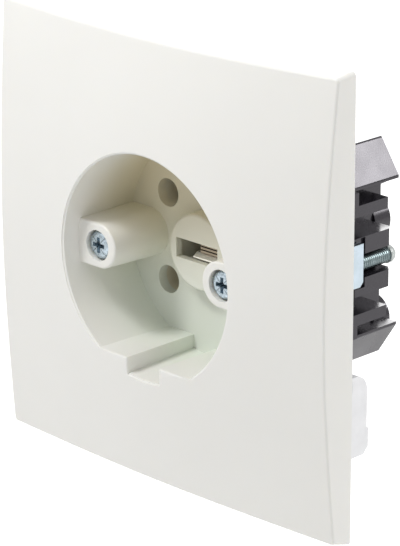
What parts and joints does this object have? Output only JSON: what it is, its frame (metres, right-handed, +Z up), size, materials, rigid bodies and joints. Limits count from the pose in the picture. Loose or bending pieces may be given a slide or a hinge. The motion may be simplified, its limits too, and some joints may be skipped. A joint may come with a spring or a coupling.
{
  "type": "perilex socket outlet",
  "caption": "Flush-mounted power socket: square domed white cover with a keyed round well, round pin holes, flat earth slot, dark rear mechanism and spreader claws.",
  "frame": {"origin": "on the axis of the well, in the wall plane at the back edge of the cover and the back of the support frame", "axes": "+Z up, the front faces -Y, +Y points into the wall, +X to the right seen from the front"},
  "size_m": [0.084, 0.0424, 0.084],
  "materials": {
    "brass": "satin",
    "bright_spring": "bright",
    "clear_nylon": "satin",
    "copper": "satin",
    "cream_thermoset": "matte",
    "dark_thermoset": "matte",
    "plated_screws": "bright",
    "plated_steel": "satin",
    "white_nylon": "matte",
    "white_plastic": "satin"
  },
  "bodies": {
    "socket": {"contact_bar_bottom_left": "brass", "contact_bar_bottom_right": "brass", "contact_bar_top_left": "brass", "contact_bar_top_right": "brass", "contact_carrier": "cream_thermoset", "contact_sleeve_bottom_left": "brass", "contact_sleeve_bottom_right": "brass", "contact_sleeve_top_left": "brass", "contact_sleeve_top_right": "brass", "cover_plate": "white_plastic", "cover_screw_left": "plated_screws", "cover_screw_right": "plated_screws", "earth_contact": "copper", "earth_spring": "bright_spring", "earth_strap": "copper", "frame_screw_bottom_left": "plated_screws", "frame_screw_bottom_right": "plated_screws", "frame_screw_top_left": "plated_screws", "frame_screw_top_right": "plated_screws", "housing_screw_bottom": "plated_screws", "housing_screw_top": "plated_screws", "rear_housing": "dark_thermoset", "retaining_lug": "white_nylon", "support_frame": "plated_steel", "terminal_block_bottom_left": "brass", "terminal_block_bottom_right": "brass", "terminal_block_earth": "brass", "terminal_block_top_left": "brass", "terminal_block_top_right": "brass", "terminal_screw_bottom_left": "plated_screws", "terminal_screw_bottom_right": "plated_screws", "terminal_screw_earth": "plated_screws", "terminal_screw_top_left": "plated_screws", "terminal_screw_top_right": "plated_screws"},
    "claw_left": {"claw_left": "plated_steel", "claw_screw_left": "plated_screws", "claw_cap_left": "clear_nylon"},
    "claw_right": {"claw_right": "plated_steel", "claw_screw_right": "plated_screws", "claw_cap_right": "clear_nylon"}
  },
  "joints": [
    {"name": "spread_left", "type": "hinge", "parent": "socket", "child": "claw_left", "pos_m": [-0.0229, -0.0015, 0], "axis": [0, 0, 1], "range_deg": [0, 10]},
    {"name": "spread_right", "type": "hinge", "parent": "socket", "child": "claw_right", "pos_m": [0.0229, -0.0015, 0], "axis": [0, 0, -1], "range_deg": [0, 10]}
  ]
}
